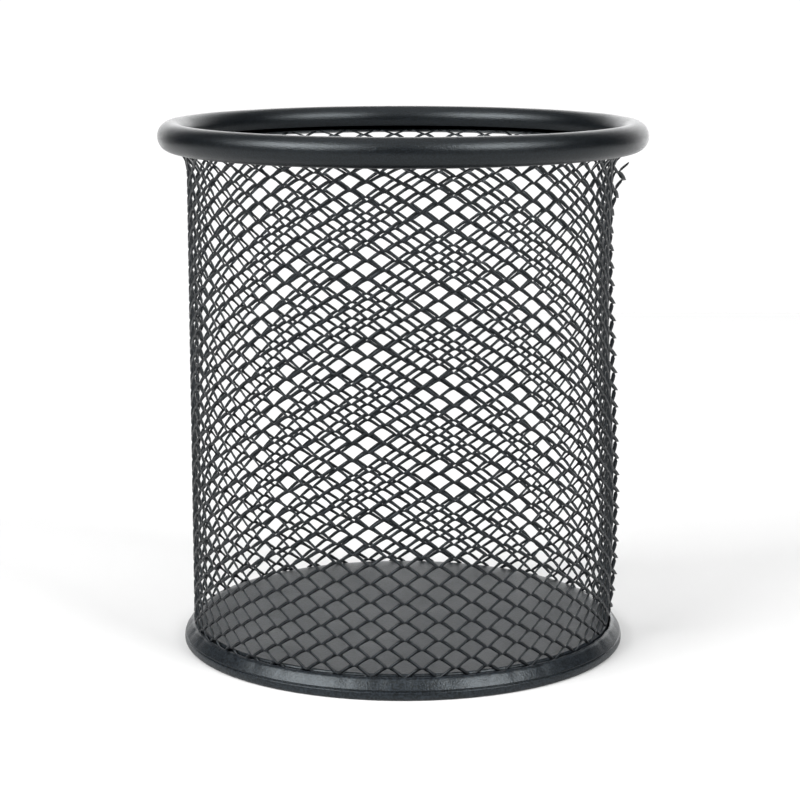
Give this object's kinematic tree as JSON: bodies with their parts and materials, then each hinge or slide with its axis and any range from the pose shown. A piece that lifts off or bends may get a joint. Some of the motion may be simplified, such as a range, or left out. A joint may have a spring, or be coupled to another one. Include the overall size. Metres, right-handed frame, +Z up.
{
  "type": "mesh pen holder cup",
  "caption": "Round desktop pen holder cup with a black expanded-steel mesh wall, a rolled tube rim and a solid pressed base.",
  "frame": {"origin": "centre of the foot ring, on the desk surface", "axes": "+Z up along the cup's axis, -Y towards the viewer of the front, +X to the viewer's right, where the wall's overlap seam is"},
  "size_m": [0.092, 0.092, 0.1],
  "materials": {
    "rim_coat": "satin black powder coat",
    "mesh_coat": "satin black powder coat",
    "pan_coat": "fine-textured satin black powder coat"
  },
  "bodies": {
    "root": {"rim": "rim_coat", "mesh_wall": "mesh_coat", "base_pan": "pan_coat"}
  },
  "joints": []
}
